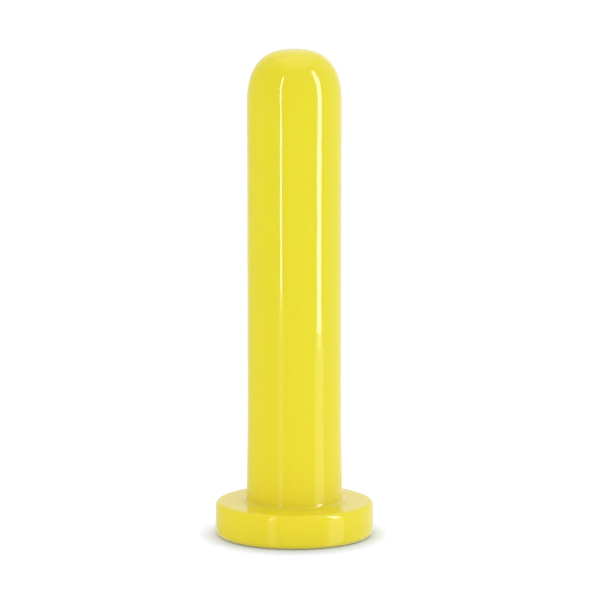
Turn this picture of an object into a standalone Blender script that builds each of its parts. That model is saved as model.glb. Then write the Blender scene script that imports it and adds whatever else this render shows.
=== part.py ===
"""A spring-return delineator post: one moulded skin over a steel core that can be knocked flat.

Metres, +Z up. The origin is the centre of the underside, on the ground.
Everything parented to post_pivot turns with the post about the middle of the neck.
"""
import math

import bmesh
import bpy
from mathutils import Matrix

MM = 0.001
GAP = 0.3 * MM                  # left between pieces that touch

# Outside of the moulding
TOTAL_HEIGHT = 417 * MM
FOOT_RADIUS = 67.2 * MM
FOOT_HEIGHT = 29.5 * MM
FOOT_TOP_EDGE = 4.0 * MM        # rounding radii of the foot
FOOT_LOW_EDGE = 5.2 * MM
NECK_FILLET = 4.0 * MM          # hollow radius where the post leaves the foot
POST_RADIUS = 39.9 * MM         # at the waist
FOOT_FLARE = 1.15 * MM          # extra radius at the foot, gone FLARE_HEIGHT above it
FLARE_HEIGHT = 90 * MM
HEAD_SWELL = 0.25 * MM          # extra radius under the dome, over the top SWELL_HEIGHT
SWELL_HEIGHT = 78 * MM
DOME_HEIGHT = 48.6 * MM
DOME_POWER = 2.64               # 2 is an ellipse, more is a squarer shoulder
DOME_BASE = TOTAL_HEIGHT - DOME_HEIGHT

# Inside of the moulding
BORE_RADIUS = 33 * MM
CROWN_WALL = 7 * MM
PIVOT_HEIGHT = 88 * MM
COLLAR_TOP = 34 * MM            # below this the skin stays with the foot
POST_START = 92 * MM            # above this it stays with the post
RECESS_RADIUS = 55 * MM

# Underside: rubber pad, then steel plate
PAD_THICKNESS = 3 * MM
PAD_HOLE_RADIUS = 15 * MM
PLATE_THICKNESS = 10 * MM
PLATE_LOW = PAD_THICKNESS + GAP
PLATE_TOP = PLATE_LOW + PLATE_THICKNESS
SEAT_LOW = PLATE_TOP + GAP      # the level at which the foot, hub and bush flange start

# Threaded bush for an M16 ground stud
BUSH_RADIUS = 13 * MM
BUSH_THREAD_RADIUS = 7 * MM     # tapping size of M16
BUSH_THREAD_TOP = 25 * MM
BUSH_FLANGE_HALF = 15 * MM      # half of the size across its flats
BUSH_FLANGE_THICKNESS = 4 * MM
BUSH_NECK_RADIUS = 12 * MM
BUSH_TOP = 28 * MM

# Countersunk M6 screws
SCREW_RADIUS = 2.9 * MM
SCREW_HEAD_RADIUS = 6 * MM
SCREW_HEAD_HEIGHT = 3.3 * MM
SCREW_SOCKET_HALF = 2 * MM
SCREW_SOCKET_DEPTH = 2 * MM
PLATE_SCREWS = 6
PLATE_SCREW_CIRCLE = 46 * MM
PLATE_SCREW_TOP = 22 * MM
SEAT_SCREWS = 4
SEAT_SCREW_CIRCLE = 24.5 * MM
SEAT_SCREW_TOP = 20 * MM
INSERT_RADIUS = 4.6 * MM
INSERT_TOP = 24 * MM

# Spring and rope
WIRE_RADIUS = 3 * MM
COIL_RADIUS = 22 * MM
DEAD_TURNS = 1.25               # closed turns at each end
DEAD_PITCH = 6.6 * MM
SPRING_LOW = 23.9 * MM
SPRING_TOP = 157.7 * MM
ACTIVE_PITCH = 12 * MM
ROPE_RADIUS = 2.5 * MM
SPIGOT_RADIUS = 18.2 * MM
SPIGOT_NOSE_RADIUS = 16 * MM
NOSE_LENGTH = 8 * MM
HUB_RADIUS = 31 * MM
HUB_TOP = 40 * MM
HUB_CEILING = 34 * MM           # underside of the web that the rope's ferrule bears on
FERRULE_RADIUS = 6 * MM
FERRULE_LOW = 28.6 * MM

# Core of the post
TUBE_RADIUS = 32.5 * MM
TUBE_WALL = 3 * MM
TUBE_LOW = 146 * MM
TUBE_TOP = 352 * MM
UPPER_SEAT_LOW = 140 * MM
UPPER_SEAT_TOP = 176 * MM
STUD_RADIUS = 4 * MM            # M8
SWAGE_RADIUS = 5 * MM
SWAGE_LOW = 143 * MM
STUD_TOP = 192 * MM
WASHER_RADIUS = 10 * MM
WASHER_THICKNESS = 1.6 * MM
NUT_HALF = 6.5 * MM
NUT_HEIGHT = 6.5 * MM
RIVETS = 4
RIVET_HEIGHT = 167 * MM
RIVET_RADIUS = 2.5 * MM
RIVET_HEAD_RADIUS = 4.2 * MM
RIVET_HEAD_HEIGHT = 1.6 * MM
RIVET_INNER_END = 22 * MM
PLUG_SPIGOT_LENGTH = 16 * MM
PLUG_BORE_RADIUS = 20 * MM
PLUG_BORE_TOP = 384 * MM

# Facets
LARGE_SIDES = 40
MEDIUM_SIDES = 24
SMALL_SIDES = 12

HEX = "hex"                     # marks a ring that is a hexagon, sized by half its flats

YELLOW = (0.855, 0.753, 0.034)
STEEL = (0.52, 0.53, 0.54)
DARK_STEEL = (0.30, 0.31, 0.32)
BRASS = (0.66, 0.50, 0.22)
BLACK = (0.025, 0.025, 0.027)
GREY = (0.20, 0.21, 0.22)


def clear_scene():
    for thing in list(bpy.data.objects):
        bpy.data.objects.remove(thing, do_unlink=True)


def make_material(name, colour, roughness, metallic):
    material = bpy.data.materials.new(name)
    material.use_nodes = True
    shader = material.node_tree.nodes["Principled BSDF"]
    shader.inputs["Base Color"].default_value = (*colour, 1.0)
    shader.inputs["Roughness"].default_value = roughness
    shader.inputs["Metallic"].default_value = metallic
    return material


def make_empty(name, height):
    empty = bpy.data.objects.new(name, None)
    empty.location = (0.0, 0.0, height)
    bpy.context.scene.collection.objects.link(empty)
    return empty


def place(name, mesh, finish, parent, matrix):
    """Link a mesh as an object at a world matrix, held by its parent empty."""
    mesh.materials.clear()
    mesh.materials.append(make_material(name, *finish))
    mesh.shade_smooth()
    mesh.set_sharp_from_angle(angle=math.radians(35))
    piece = bpy.data.objects.new(name, mesh)
    bpy.context.scene.collection.objects.link(piece)
    piece.parent = parent
    piece.location = matrix.translation - parent.location
    piece.rotation_euler = matrix.to_euler()
    return piece


def ring_radius(point, angle):
    """Radius of an outline point at an angle: round, or on a hexagon with a corner at angle 0."""
    if len(point) == 2:
        return point[0]
    from_flat = (angle % math.radians(60)) - math.radians(30)
    return point[0] / math.cos(from_flat)


def turned_mesh(name, outline, sides):
    """Turn a closed outline of (radius, height[, HEX]) points about Z. Radius 0 makes a pole."""
    shape = bmesh.new()
    rings = []
    for point in outline:
        if point[0] == 0.0:
            rings.append([shape.verts.new((0.0, 0.0, point[1]))] * sides)
            continue
        angles = [2 * math.pi * side / sides for side in range(sides)]
        rings.append([shape.verts.new((ring_radius(point, a) * math.cos(a),
                                       ring_radius(point, a) * math.sin(a), point[1])) for a in angles])
    for ring, following in zip(rings, rings[1:] + rings[:1]):
        if ring[0] is ring[1] and following[0] is following[1]:
            continue
        for side in range(sides):
            after = (side + 1) % sides
            corners = [ring[side], ring[after], following[after], following[side]]
            shape.faces.new(list(dict.fromkeys(corners)))
    bmesh.ops.recalc_face_normals(shape, faces=shape.faces)
    mesh = bpy.data.meshes.new(name)
    shape.to_mesh(mesh)
    shape.free()
    return mesh


def turned(name, outline, finish, parent, sides=LARGE_SIDES, matrix=Matrix()):
    return place(name, turned_mesh(name, outline, sides), finish, parent, matrix)


def make_cutter(name, outline, matrix=Matrix(), sides=SMALL_SIDES):
    cutter = bpy.data.objects.new(name, turned_mesh(name, outline, sides))
    bpy.context.scene.collection.objects.link(cutter)
    cutter.location = matrix.translation
    cutter.rotation_euler = matrix.to_euler()
    cutter.hide_render = True
    cutter.display_type = "WIRE"
    return cutter


def cut(piece, cutters):
    for cutter in cutters:
        drill = piece.modifiers.new(cutter.name, "BOOLEAN")
        drill.operation = "DIFFERENCE"
        drill.solver = "EXACT"
        drill.object = cutter


def arc(centre_r, centre_z, radius, start, end, steps):
    """Outline points on an arc, with its angles in degrees from the +r direction."""
    points = []
    for step in range(steps + 1):
        angle = math.radians(start + (end - start) * step / steps)
        points.append((centre_r + radius * math.cos(angle), centre_z + radius * math.sin(angle)))
    return points


def post_radius(height):
    """Waisted post: a quadratic flare towards the foot and a slight one under the dome."""
    low = max(0.0, 1 - (height - FOOT_HEIGHT) / FLARE_HEIGHT)
    high = max(0.0, 1 - (DOME_BASE - height) / SWELL_HEIGHT)
    return POST_RADIUS + FOOT_FLARE * low ** 2 + HEAD_SWELL * high ** 2


def dome(radius, rise, steps=10):
    """Superellipse quarter from its springing line to the pole, both ends included."""
    points = []
    for step in range(steps):
        angle = math.radians(90) * step / steps
        points.append((radius * math.cos(angle) ** (2 / DOME_POWER),
                       DOME_BASE + rise * math.sin(angle) ** (2 / DOME_POWER)))
    return points + [(0.0, DOME_BASE + rise)]


def circle_places(count, radius, height=0.0):
    """World matrices around a bolt circle, each turned to face outwards."""
    places = []
    for index in range(count):
        turn = Matrix.Rotation(2 * math.pi * (index + 0.5) / count, 4, "Z")
        places.append(turn @ Matrix.Translation((radius, 0.0, height)))
    return places


def countersunk(face, head, shank, top, head_height):
    """Outline of a countersunk head and shank, or of the hole for one, standing on its head."""
    return [(0.0, face), (head, face), (shank, face + head_height), (shank, top), (0.0, top)]


def make_skin(base, post):
    """The moulding, in the three stretches that stay, bend and swing."""
    finish = (YELLOW, 0.28, 0.0)
    foot_outline = [(RECESS_RADIUS, GAP)]
    foot_outline += arc(FOOT_RADIUS - FOOT_LOW_EDGE, GAP + FOOT_LOW_EDGE, FOOT_LOW_EDGE, -90, 0, 4)
    foot_outline += arc(FOOT_RADIUS - FOOT_TOP_EDGE, FOOT_HEIGHT - FOOT_TOP_EDGE, FOOT_TOP_EDGE, 0, 90, 4)
    fillet_top = FOOT_HEIGHT + NECK_FILLET
    foot_outline += arc(post_radius(fillet_top) + NECK_FILLET, fillet_top, NECK_FILLET, 270, 180, 4)
    foot_outline += [(post_radius(COLLAR_TOP), COLLAR_TOP), (BORE_RADIUS, COLLAR_TOP)]
    foot_outline += [(BORE_RADIUS, SEAT_LOW), (RECESS_RADIUS, SEAT_LOW)]
    foot = turned("foot_skin", foot_outline, finish, base)
    pocket = [(0.0, SEAT_LOW - MM), (INSERT_RADIUS + GAP, SEAT_LOW - MM),
              (INSERT_RADIUS + GAP, INSERT_TOP + GAP), (0.0, INSERT_TOP + GAP)]
    cut(foot, [make_cutter(f"insert_pocket_{number}", pocket, spot)
               for number, spot in enumerate(circle_places(PLATE_SCREWS, PLATE_SCREW_CIRCLE), 1)])

    low, high = COLLAR_TOP + GAP, POST_START - GAP
    middle = (low + high) / 2
    neck_outline = [(BORE_RADIUS, low), (post_radius(low), low), (post_radius(middle), middle),
                    (post_radius(high), high), (BORE_RADIUS, high), (BORE_RADIUS, middle)]
    turned("neck_skin", neck_outline, finish, base)

    lift = -PIVOT_HEIGHT
    heights = [POST_START, FOOT_HEIGHT + FLARE_HEIGHT, DOME_BASE - SWELL_HEIGHT, DOME_BASE - SWELL_HEIGHT / 2]
    post_outline = [(post_radius(height), height) for height in heights]
    post_outline += dome(post_radius(DOME_BASE), DOME_HEIGHT)
    post_outline += dome(BORE_RADIUS, DOME_HEIGHT - CROWN_WALL, 7)[::-1]
    post_outline += [(BORE_RADIUS, POST_START)]
    raised(post_outline, lift, "post_skin", finish, post)


def raised(outline, lift, name, finish, parent, sides=LARGE_SIDES):
    """Turn an outline given in world heights, with its mesh measured from the pivot."""
    shifted = [(point[0], point[1] + lift, *point[2:]) for point in outline]
    return turned(name, shifted, finish, parent, sides, Matrix.Translation((0.0, 0.0, -lift)))


def make_underside(base):
    """Ground pad, ballast plate and its two circles of countersunk screws."""
    hole = BUSH_RADIUS + GAP
    edge = RECESS_RADIUS - GAP
    pad_outline = [(PAD_HOLE_RADIUS, 0.0), (edge, 0.0), (edge, PAD_THICKNESS), (PAD_HOLE_RADIUS, PAD_THICKNESS)]
    turned("ground_pad", pad_outline, (BLACK, 0.8, 0.0), base)
    chamfer = MM
    plate_outline = [(hole, PLATE_LOW), (edge - chamfer, PLATE_LOW), (edge, PLATE_LOW + chamfer),
                     (edge, PLATE_TOP), (hole, PLATE_TOP)]
    plate = turned("base_plate", plate_outline, (STEEL, 0.4, 1.0), base)

    head_face = PLATE_LOW + GAP
    hole_outline = countersunk(PLATE_LOW - GAP, SCREW_HEAD_RADIUS + 3 * GAP, SCREW_RADIUS + GAP,
                               PLATE_TOP + MM, SCREW_HEAD_HEIGHT + 3 * GAP)
    plate_circle = circle_places(PLATE_SCREWS, PLATE_SCREW_CIRCLE)
    seat_circle = circle_places(SEAT_SCREWS, SEAT_SCREW_CIRCLE)
    cut(plate, [make_cutter(f"plate_hole_{number}", hole_outline, spot)
                for number, spot in enumerate(plate_circle + seat_circle, 1)])

    for number, spot in enumerate(plate_circle, 1):
        make_screw(f"plate_screw_{number}", head_face, PLATE_SCREW_TOP, base, spot)
        insert_outline = [(SCREW_RADIUS + GAP, SEAT_LOW + GAP), (INSERT_RADIUS, SEAT_LOW + GAP),
                          (INSERT_RADIUS, INSERT_TOP), (SCREW_RADIUS + GAP, INSERT_TOP)]
        turned(f"skin_insert_{number}", insert_outline, (BRASS, 0.35, 1.0), base, SMALL_SIDES, spot)
    for number, spot in enumerate(seat_circle, 1):
        make_screw(f"seat_screw_{number}", head_face, SEAT_SCREW_TOP, base, spot)


def make_screw(name, face, top, parent, spot):
    """Countersunk screw, head down, with a hexagon socket."""
    socket = face + SCREW_SOCKET_DEPTH
    body = countersunk(face, SCREW_HEAD_RADIUS, SCREW_RADIUS, top, SCREW_HEAD_HEIGHT)[1:]
    outline = [(0.0, socket), (SCREW_SOCKET_HALF, socket, HEX), (SCREW_SOCKET_HALF, face, HEX)] + body
    turned(name, outline, (STEEL, 0.3, 1.0), parent, SMALL_SIDES, spot)


def make_lower_core(base):
    """Anchor bush, and the hub that holds it down and carries the spring and rope."""
    flange_top = SEAT_LOW + BUSH_FLANGE_THICKNESS
    bush_outline = [(BUSH_THREAD_RADIUS, PLATE_LOW), (BUSH_RADIUS, PLATE_LOW), (BUSH_RADIUS, SEAT_LOW),
                    (BUSH_FLANGE_HALF, SEAT_LOW, HEX), (BUSH_FLANGE_HALF, flange_top, HEX),
                    (BUSH_NECK_RADIUS, flange_top), (BUSH_NECK_RADIUS, BUSH_TOP), (0.0, BUSH_TOP),
                    (0.0, BUSH_THREAD_TOP), (BUSH_THREAD_RADIUS, BUSH_THREAD_TOP)]
    turned("anchor_bush", bush_outline, (STEEL, 0.35, 1.0), base, MEDIUM_SIDES)

    recess, bore, rope_hole = BUSH_FLANGE_HALF + GAP, BUSH_NECK_RADIUS + GAP, ROPE_RADIUS + 2 * GAP
    flange = SPRING_LOW - GAP
    hub_outline = [(recess, SEAT_LOW, HEX), (HUB_RADIUS, SEAT_LOW), (HUB_RADIUS, flange),
                   (SPIGOT_RADIUS, flange), (SPIGOT_RADIUS, HUB_TOP - NOSE_LENGTH),
                   (SPIGOT_NOSE_RADIUS, HUB_TOP), (rope_hole, HUB_TOP), (rope_hole, HUB_CEILING),
                   (bore, HUB_CEILING), (bore, flange_top + GAP), (recess, flange_top + GAP, HEX)]
    hub = turned("lower_spring_seat", hub_outline, (DARK_STEEL, 0.45, 1.0), base, MEDIUM_SIDES)
    tapped = [(0.0, SEAT_LOW - MM), (SCREW_RADIUS + GAP, SEAT_LOW - MM),
              (SCREW_RADIUS + GAP, SEAT_SCREW_TOP + GAP), (0.0, SEAT_SCREW_TOP + GAP)]
    cut(hub, [make_cutter(f"seat_thread_{number}", tapped, spot)
              for number, spot in enumerate(circle_places(SEAT_SCREWS, SEAT_SCREW_CIRCLE), 1)])

    ferrule_top = HUB_CEILING - GAP
    ferrule_outline = [(0.0, FERRULE_LOW), (FERRULE_RADIUS, FERRULE_LOW), (FERRULE_RADIUS, ferrule_top),
                       (0.0, ferrule_top)]
    turned("rope_ferrule", ferrule_outline, (STEEL, 0.4, 1.0), base, SMALL_SIDES)
    rope_ends = (HUB_CEILING, SWAGE_LOW - GAP)
    rope_outline = [(0.0, rope_ends[0]), (ROPE_RADIUS, rope_ends[0]), (ROPE_RADIUS, rope_ends[1]),
                    (0.0, rope_ends[1])]
    turned("tie_rope", rope_outline, (STEEL, 0.45, 1.0), base, SMALL_SIDES)


def make_spring(base, turn_steps=14, wire_sides=6):
    """Round-wire coil: closed turns at both ends and open ones between, swept as a capped tube."""
    low, top = SPRING_LOW + WIRE_RADIUS, SPRING_TOP - WIRE_RADIUS
    dead_rise = DEAD_TURNS * DEAD_PITCH
    active_turns = (top - low - 2 * dead_rise) / ACTIVE_PITCH
    turns = 2 * DEAD_TURNS + active_turns
    steps = round(turns * turn_steps)
    shape = bmesh.new()
    rings = []
    for step in range(steps + 1):
        turn = turns * step / steps
        active = min(max(turn - DEAD_TURNS, 0.0), active_turns)
        height = low + (turn - active) * DEAD_PITCH + active * ACTIVE_PITCH
        angle = 2 * math.pi * turn
        ring = []
        for side in range(wire_sides):
            around = 2 * math.pi * side / wire_sides
            radius = COIL_RADIUS + WIRE_RADIUS * math.cos(around)
            ring.append(shape.verts.new((radius * math.cos(angle), radius * math.sin(angle),
                                         height + WIRE_RADIUS * math.sin(around))))
        rings.append(ring)
    for ring, following in zip(rings, rings[1:]):
        for side in range(wire_sides):
            after = (side + 1) % wire_sides
            shape.faces.new((ring[side], ring[after], following[after], following[side]))
    shape.faces.new(rings[0])
    shape.faces.new(rings[-1])
    bmesh.ops.recalc_face_normals(shape, faces=shape.faces)
    mesh = bpy.data.meshes.new("return_spring")
    shape.to_mesh(mesh)
    shape.free()
    place("return_spring", mesh, (DARK_STEEL, 0.35, 1.0), base, Matrix())


def make_upper_core(post):
    """Upper seat, riveted core tube, rope terminal with its washer and nut, and the nose plug."""
    lift = -PIVOT_HEIGHT
    inner = TUBE_RADIUS - TUBE_WALL
    bore = SWAGE_RADIUS + GAP
    shoulder = SPRING_TOP + GAP
    seat_outline = [(bore, UPPER_SEAT_LOW), (SPIGOT_NOSE_RADIUS, UPPER_SEAT_LOW),
                    (SPIGOT_RADIUS, UPPER_SEAT_LOW + NOSE_LENGTH), (SPIGOT_RADIUS, shoulder),
                    (inner - GAP, shoulder), (inner - GAP, UPPER_SEAT_TOP), (bore, UPPER_SEAT_TOP)]
    seat = raised(seat_outline, lift, "upper_spring_seat", (DARK_STEEL, 0.45, 1.0), post, MEDIUM_SIDES)
    tube_outline = [(inner, TUBE_LOW), (TUBE_RADIUS, TUBE_LOW), (TUBE_RADIUS, TUBE_TOP), (inner, TUBE_TOP)]
    tube = raised(tube_outline, lift, "core_tube", (STEEL, 0.4, 1.0), post, MEDIUM_SIDES)

    hole_outline = countersunk(-GAP, RIVET_HEAD_RADIUS + 2 * GAP, RIVET_RADIUS + GAP,
                               TUBE_RADIUS - RIVET_INNER_END + GAP, RIVET_HEAD_HEIGHT + 2 * GAP)
    rivet_outline = countersunk(GAP, RIVET_HEAD_RADIUS, RIVET_RADIUS,
                                TUBE_RADIUS - RIVET_INNER_END, RIVET_HEAD_HEIGHT)
    cutters = []
    for number, spot in enumerate(circle_places(RIVETS, TUBE_RADIUS, RIVET_HEIGHT), 1):
        inwards = spot @ Matrix.Rotation(math.radians(-90), 4, "Y")
        turned(f"tube_rivet_{number}", rivet_outline, (STEEL, 0.35, 1.0), post, SMALL_SIDES, inwards)
        cutters.append(make_cutter(f"rivet_hole_{number}", hole_outline, inwards))
    cut(tube, cutters)
    cut(seat, cutters)

    swage_top = UPPER_SEAT_TOP - MM
    stud_outline = [(0.0, SWAGE_LOW), (SWAGE_RADIUS, SWAGE_LOW), (SWAGE_RADIUS, swage_top),
                    (STUD_RADIUS, swage_top), (STUD_RADIUS, STUD_TOP), (0.0, STUD_TOP)]
    raised(stud_outline, lift, "rope_stud", (STEEL, 0.35, 1.0), post, SMALL_SIDES)
    washer_low = UPPER_SEAT_TOP + GAP
    washer_top = washer_low + WASHER_THICKNESS
    hole = STUD_RADIUS + GAP
    washer_outline = [(hole, washer_low), (WASHER_RADIUS, washer_low), (WASHER_RADIUS, washer_top),
                      (hole, washer_top)]
    raised(washer_outline, lift, "stud_washer", (STEEL, 0.35, 1.0), post, MEDIUM_SIDES)
    nut_low = washer_top + GAP
    nut_top = nut_low + NUT_HEIGHT
    nut_outline = [(hole, nut_low), (NUT_HALF, nut_low, HEX), (NUT_HALF, nut_top, HEX), (hole, nut_top)]
    raised(nut_outline, lift, "stud_nut", (STEEL, 0.35, 1.0), post, SMALL_SIDES)

    plug_low, plug_shoulder = TUBE_TOP - PLUG_SPIGOT_LENGTH, TUBE_TOP + GAP
    plug_outline = [(PLUG_BORE_RADIUS, plug_low), (inner - GAP, plug_low), (inner - GAP, plug_shoulder),
                    (BORE_RADIUS - GAP, plug_shoulder)]
    plug_outline += dome(BORE_RADIUS - GAP, DOME_HEIGHT - CROWN_WALL - GAP, 7)
    plug_outline += [(0.0, PLUG_BORE_TOP), (PLUG_BORE_RADIUS, PLUG_BORE_TOP)]
    raised(plug_outline, lift, "nose_plug", (GREY, 0.7, 0.0), post, MEDIUM_SIDES)


def main():
    clear_scene()
    base = make_empty("base_frame", 0.0)
    post = make_empty("post_pivot", PIVOT_HEIGHT)
    make_skin(base, post)
    make_underside(base)
    make_lower_core(base)
    make_spring(base)
    make_upper_core(post)


main()
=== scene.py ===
import math

import bmesh
import bpy
import numpy as np
from mathutils import Matrix, Vector


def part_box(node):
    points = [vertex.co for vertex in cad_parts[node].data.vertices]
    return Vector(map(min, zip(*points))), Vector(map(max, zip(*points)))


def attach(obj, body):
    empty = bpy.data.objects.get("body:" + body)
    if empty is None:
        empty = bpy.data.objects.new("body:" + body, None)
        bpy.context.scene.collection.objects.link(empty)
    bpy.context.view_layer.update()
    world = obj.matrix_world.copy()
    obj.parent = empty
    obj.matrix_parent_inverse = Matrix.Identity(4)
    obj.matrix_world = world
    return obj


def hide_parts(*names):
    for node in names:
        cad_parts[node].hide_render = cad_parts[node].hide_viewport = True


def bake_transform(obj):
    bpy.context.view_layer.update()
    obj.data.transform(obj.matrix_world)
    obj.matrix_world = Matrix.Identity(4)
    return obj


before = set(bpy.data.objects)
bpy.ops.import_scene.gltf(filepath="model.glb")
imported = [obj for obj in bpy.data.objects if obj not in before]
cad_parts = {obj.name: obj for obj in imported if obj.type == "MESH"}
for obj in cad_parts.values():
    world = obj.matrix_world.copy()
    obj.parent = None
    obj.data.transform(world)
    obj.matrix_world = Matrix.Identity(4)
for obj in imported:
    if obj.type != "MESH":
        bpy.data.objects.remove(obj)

mm = 0.001
turn = 2 * math.pi
gap = 0.3 * mm  # what touching solids keep between them
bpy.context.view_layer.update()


def gridFaces(rows, columns, wrapRows):
    # quad (i, j) joins points (i, j), (i, j+1), (i+1, j+1), (i+1, j); point (i, j) has number
    # i * columns + j, and the last column joins the first
    i, j = np.meshgrid(np.arange(rows - (not wrapRows)), np.arange(columns), indexing="ij")
    below, right = (i + 1) % rows, (j + 1) % columns
    corners = (i * columns + j, i * columns + right, below * columns + right, below * columns + j)
    return np.stack(corners, axis=-1).reshape(-1, 4)


def newObject(name, data):
    holder = bpy.data.objects.new(name, data)
    bpy.context.scene.collection.objects.link(holder)
    return holder


def meshPiece(name, grids, wrapRows, sharpAngle=35.0, marks=None):
    # closed grids of points (rows, columns, 3) in one object at the origin, smooth between sharp edges;
    # marks is a value from 0 to 1 for each point, kept as the attribute "mark"
    starts = np.cumsum([0] + [grid.shape[0] * grid.shape[1] for grid in grids[:-1]])
    faces = [gridFaces(*grid.shape[:2], wrapRows) + start for grid, start in zip(grids, starts)]
    mesh = bpy.data.meshes.new(name)
    mesh.from_pydata(np.concatenate([grid.reshape(-1, 3) for grid in grids]).tolist(), [],
                     np.concatenate(faces).tolist())
    if marks is not None:
        mesh.attributes.new("mark", "FLOAT", "POINT").data.foreach_set("value", marks.ravel())
    shape = bmesh.new()
    shape.from_mesh(mesh)
    bmesh.ops.remove_doubles(shape, verts=shape.verts, dist=1e-7)
    bmesh.ops.recalc_face_normals(shape, faces=shape.faces)
    shape.to_mesh(mesh)
    shape.free()
    smooth(mesh, sharpAngle)
    return newObject(name, mesh)


def smooth(mesh, sharpAngle=35.0):
    mesh.shade_smooth()
    mesh.set_sharp_from_angle(angle=math.radians(sharpAngle))


def turned(name, rows, theta, closed=True, spots=(Matrix(),), sharpAngle=35.0):
    # surface of turning about each spot's Z axis: (r cos t, r sin t, h); rows lists (r, h) blocks that
    # follow each other along the outline, each a number, a column or a grid over (outline step, t)
    blank = 0 * theta
    blocks = [np.broadcast_arrays(np.atleast_2d(r) + blank, np.atleast_2d(h) + blank) for r, h in rows]
    radius = np.concatenate([block[0] for block in blocks])
    height = np.concatenate([block[1] for block in blocks])
    points = np.stack((radius * np.cos(theta), radius * np.sin(theta), height), axis=-1)
    grids = [points @ np.array(spot.to_3x3()).T + np.array(spot.translation) for spot in spots]
    return meshPiece(name, grids, closed, sharpAngle)


def around(columns):
    return np.arange(columns)[None, :] * turn / columns


def column(outline):
    return outline[:, :1], outline[:, 1:]


def roundedOutline(corners, closed=True, arcSteps=4):
    # each corner (r, h, rounding) becomes an arc: centre + (sin((1-s)a) v + sin(s a) w) / sin a, where v
    # and w go from the centre to the arc's ends, a is the angle between them, and s runs from 0 to 1
    count = len(corners)
    outline = []
    for index, (r, h, rounding) in enumerate(corners):
        here = np.array((r, h))
        if rounding == 0 or (not closed and index in (0, count - 1)):
            outline.append(here[None, :])
            continue
        before = np.array(corners[index - 1][:2]) - here
        after = np.array(corners[(index + 1) % count][:2]) - here
        before, after = before / np.linalg.norm(before), after / np.linalg.norm(after)
        half = math.acos(np.clip(before @ after, -1, 1)) / 2
        bisector = (before + after) / np.linalg.norm(before + after)
        centre = here + bisector * rounding / math.sin(half)
        reach = rounding / math.tan(half)
        v, w = here + before * reach - centre, here + after * reach - centre
        s, a = np.linspace(0, 1, arcSteps + 1)[:, None], math.pi - 2 * half
        outline.append(centre + (np.sin((1 - s) * a) * v + np.sin(s * a) * w) / math.sin(a))
    return np.concatenate(outline)


def capped(grid):
    # both ends drawn together at the middle of the end ring
    low, high = [np.repeat(grid[end].mean(axis=0)[None, None], grid.shape[1], axis=1) for end in (0, -1)]
    return np.concatenate((low, grid, high))


def divided(outline, longest):
    # straight runs are cut into equal steps no longer than longest
    lengths = np.linalg.norm(outline[1:] - outline[:-1], axis=1)
    counts = np.maximum(1, np.ceil(lengths / longest)).astype(int)
    which = np.repeat(np.arange(len(counts)), counts)
    step = (np.arange(len(which)) - np.repeat(np.cumsum(counts) - counts, counts)) / counts[which]
    points = outline[which] + step[:, None] * (outline[which + 1] - outline[which])
    return np.concatenate((points, outline[-1:]))


def hexagon(half, theta):
    # distance from the axis to a hexagon's side: half the width across flats / cos(angle from that flat)
    return half / np.cos(theta % (turn / 6) - turn / 12)


def groove(theta, height, thread):
    # 60 degree thread: depth * clip((|2 frac(h / pitch - t / turn) - 1| - 1/8) / (5/8), 0, 1)
    phase = np.abs(2 * ((height / thread["pitch"] - theta / turn) % 1) - 1)
    return thread["depth"] * np.clip((phase - 0.125) / 0.625, 0, 1)


def threadRows(low, top, thread):
    # eight rows to each turn of the thread
    return np.linspace(low, top, round((top - low) / thread["pitch"] * 8))[:, None]


def cutAway(piece, rows, theta, spots, sharpAngle=35.0):
    # a turned solid is taken out of the piece at each spot, and the result becomes its mesh
    cutter = turned("cutter", rows, theta, closed=False, spots=spots)
    drill = piece.modifiers.new("drill", "BOOLEAN")
    drill.operation = "DIFFERENCE"
    drill.solver = "EXACT"
    drill.object = cutter
    piece.data = bpy.data.meshes.new_from_object(piece.evaluated_get(bpy.context.evaluated_depsgraph_get()))
    piece.modifiers.clear()
    bpy.data.objects.remove(cutter)
    smooth(piece.data, sharpAngle)


def numbered(node, count):
    return [f"{node}_{number}" for number in range(1, count + 1)]


def spotsOf(nodes):
    # upright places on each node's own axis
    middles = [(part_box(node)[0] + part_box(node)[1]) / 2 for node in nodes]
    return [Matrix.Translation((middle.x, middle.y, 0)) for middle in middles]


insertNodes = numbered("skin_insert", 6)
seatScrews = numbered("seat_screw", 4)
screwNodes = numbered("plate_screw", 6) + seatScrews
rivetNodes = numbered("tube_rivet", 4)
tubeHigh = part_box("core_tube")[1]


def standIn(piece, material, nodes, body=None):
    # the piece takes its nodes' place, and rides on a body or else stays free of one, its place baked into
    # its points
    piece.data.materials.append(material)
    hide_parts(*nodes)
    if body:
        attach(piece, body)
    else:
        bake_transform(piece)
    print(piece.name + ":", len(piece.data.polygons), "faces")


def toLinear(hexColour):
    # sRGB hex to linear: c / 12.92 below 0.04045, else ((c + 0.055) / 1.055)^2.4
    c = np.array([int(hexColour[i:i + 2], 16) for i in (1, 3, 5)]) / 255
    linear = np.where(c <= 0.04045, c / 12.92, ((c + 0.055) / 1.055) ** 2.4)
    return (*linear.tolist(), 1.0)


def addNode(tree, kind, settings=None, links=None):
    # settings are socket names (or numbers) and node properties; links are input socket to source socket
    node = tree.nodes.new("ShaderNode" + kind)
    for key, value in (settings or {}).items():
        if isinstance(key, int) or key in node.inputs:
            node.inputs[key].default_value = value
        else:
            setattr(node, key, value)
    for key, source in (links or {}).items():
        tree.links.new(source, node.inputs[key])
    return node


def newMaterial(name, sockets):
    # sockets are the shader's own values; place is the point's position on its piece
    material = bpy.data.materials.new(name)
    material.use_nodes = True
    tree = material.node_tree
    shader = tree.nodes["Principled BSDF"]
    for socket, value in sockets.items():
        shader.inputs[socket].default_value = value
    place = addNode(tree, "TexCoord").outputs["Object"]
    return material, tree, shader, place


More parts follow.
